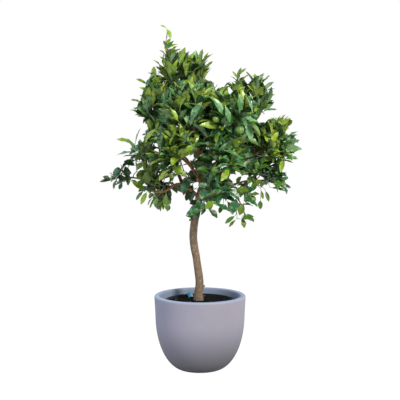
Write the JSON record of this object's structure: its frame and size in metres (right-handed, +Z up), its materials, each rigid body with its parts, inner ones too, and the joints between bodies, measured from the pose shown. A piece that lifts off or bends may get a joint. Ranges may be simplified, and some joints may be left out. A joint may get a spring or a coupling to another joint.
{
  "type": "potted orange tree",
  "caption": "Young orange tree with a bare, gently curved trunk and a loose rounded crown of glossy pointed leaves and small unripe fruit, standing in a round-bottomed grey pot of soil.",
  "frame": {"origin": "centre of the pot's flat underside, on the floor", "axes": "+Z up along the pot's axis, +Y away from the viewer of the picture, +X to the viewer's right"},
  "size_m": [0.8602, 0.7117, 1.4934],
  "materials": {
    "pot": "matte",
    "soil": "crumbly",
    "trunk_bark": "rough bark",
    "bough_bark": "bark",
    "leaves_young": "waxy",
    "leaves_grown": "waxy",
    "leaves_shaded": "waxy"
  },
  "bodies": {
    "root": {"pot": "pot", "soil": "soil", "trunk": "trunk_bark", "bough_leader": "bough_bark", "bough_right": "bough_bark", "bough_left": "bough_bark", "bough_left_low": "bough_bark", "bough_upper_left": "bough_bark", "bough_right_low": "bough_bark", "bough_front_low": "bough_bark", "bough_back_low": "bough_bark", "bough_back_right": "bough_bark", "bough_back_mid": "bough_bark", "bough_peak": "bough_bark", "bough_upper_mid": "bough_bark", "bough_front_upper": "bough_bark", "bough_front_right": "bough_bark", "bough_back_upper": "bough_bark", "bough_upper_right": "bough_bark", "bough_mid_right": "bough_bark", "bough_mid_left": "bough_bark", "bough_back_left": "bough_bark", "bough_far_left": "bough_bark", "bough_droop": "bough_bark", "foliage_leader": "leaves_young", "foliage_peak": "leaves_young", "foliage_upper_mid": "leaves_young", "foliage_upper_left": "leaves_young", "foliage_front_upper": "leaves_grown", "foliage_front_right": "leaves_grown", "foliage_upper_right": "leaves_grown", "foliage_left": "leaves_young", "foliage_mid_left": "leaves_grown", "foliage_mid_right": "leaves_grown", "foliage_right": "leaves_grown", "foliage_far_left": "leaves_shaded", "foliage_left_low": "leaves_shaded", "foliage_front_low": "leaves_shaded", "foliage_right_low": "leaves_shaded", "foliage_droop": "leaves_shaded", "foliage_back_upper": "leaves_grown", "foliage_back_left": "leaves_grown", "foliage_back_right": "leaves_grown", "foliage_back_low": "leaves_shaded", "foliage_back_mid": "leaves_grown"}
  },
  "joints": []
}
